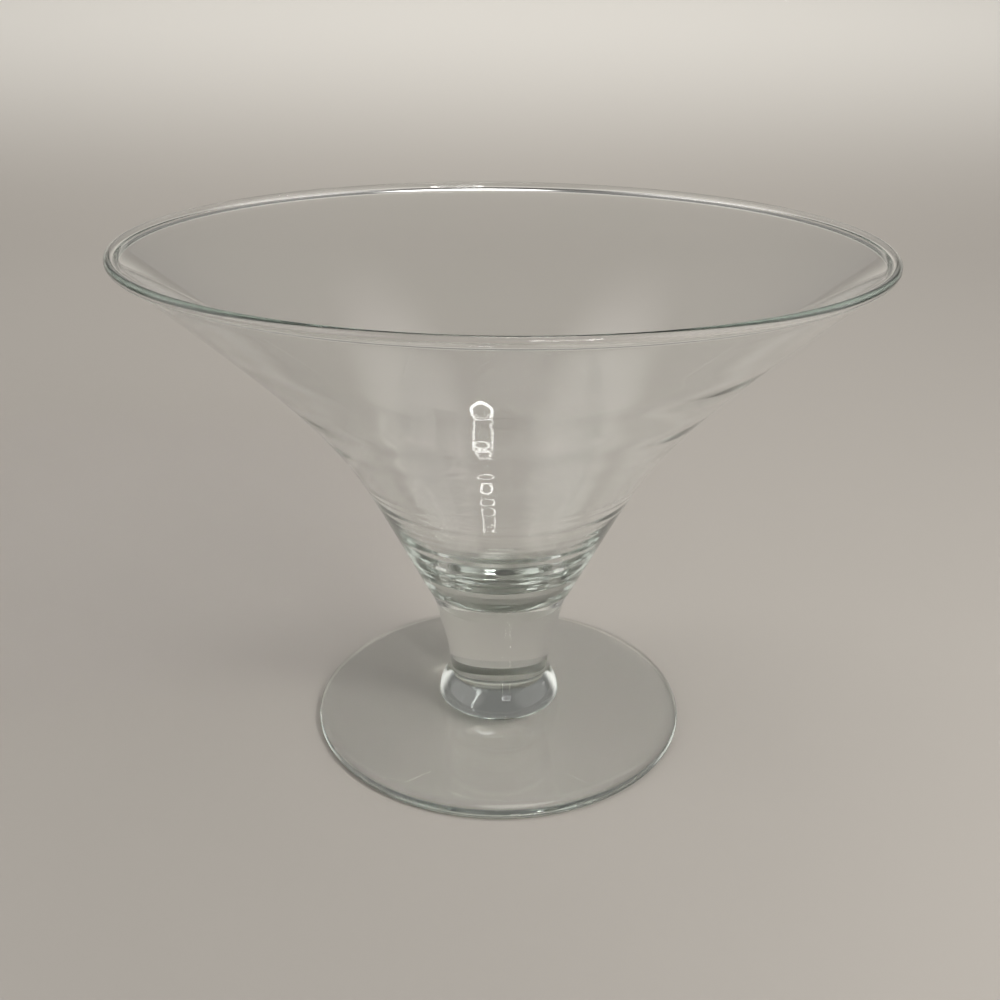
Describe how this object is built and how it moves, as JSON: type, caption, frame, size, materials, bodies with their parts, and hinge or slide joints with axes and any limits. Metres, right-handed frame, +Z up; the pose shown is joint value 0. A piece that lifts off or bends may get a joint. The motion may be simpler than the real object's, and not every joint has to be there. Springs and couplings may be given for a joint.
{
  "type": "footed glass bowl",
  "caption": "Clear glass serving bowl, a flared trumpet shape on a short solid stem with a rounded collar and a flat disc foot.",
  "frame": {"origin": "middle of the foot's underside, on the table", "axes": "+Z up along the axis that the bowl, stem, collar and foot share"},
  "size_m": [0.25, 0.25, 0.183],
  "materials": {
    "bowl_glass": "clear, faintly green, fire-polished",
    "stem_glass": "clear, faintly green, solid, fire-polished",
    "foot_glass": "clear, faintly green, fire-polished, flat below"
  },
  "bodies": {
    "root": {"bowl": "bowl_glass", "stem": "stem_glass", "stem_collar": "stem_glass", "foot": "foot_glass"}
  },
  "joints": []
}
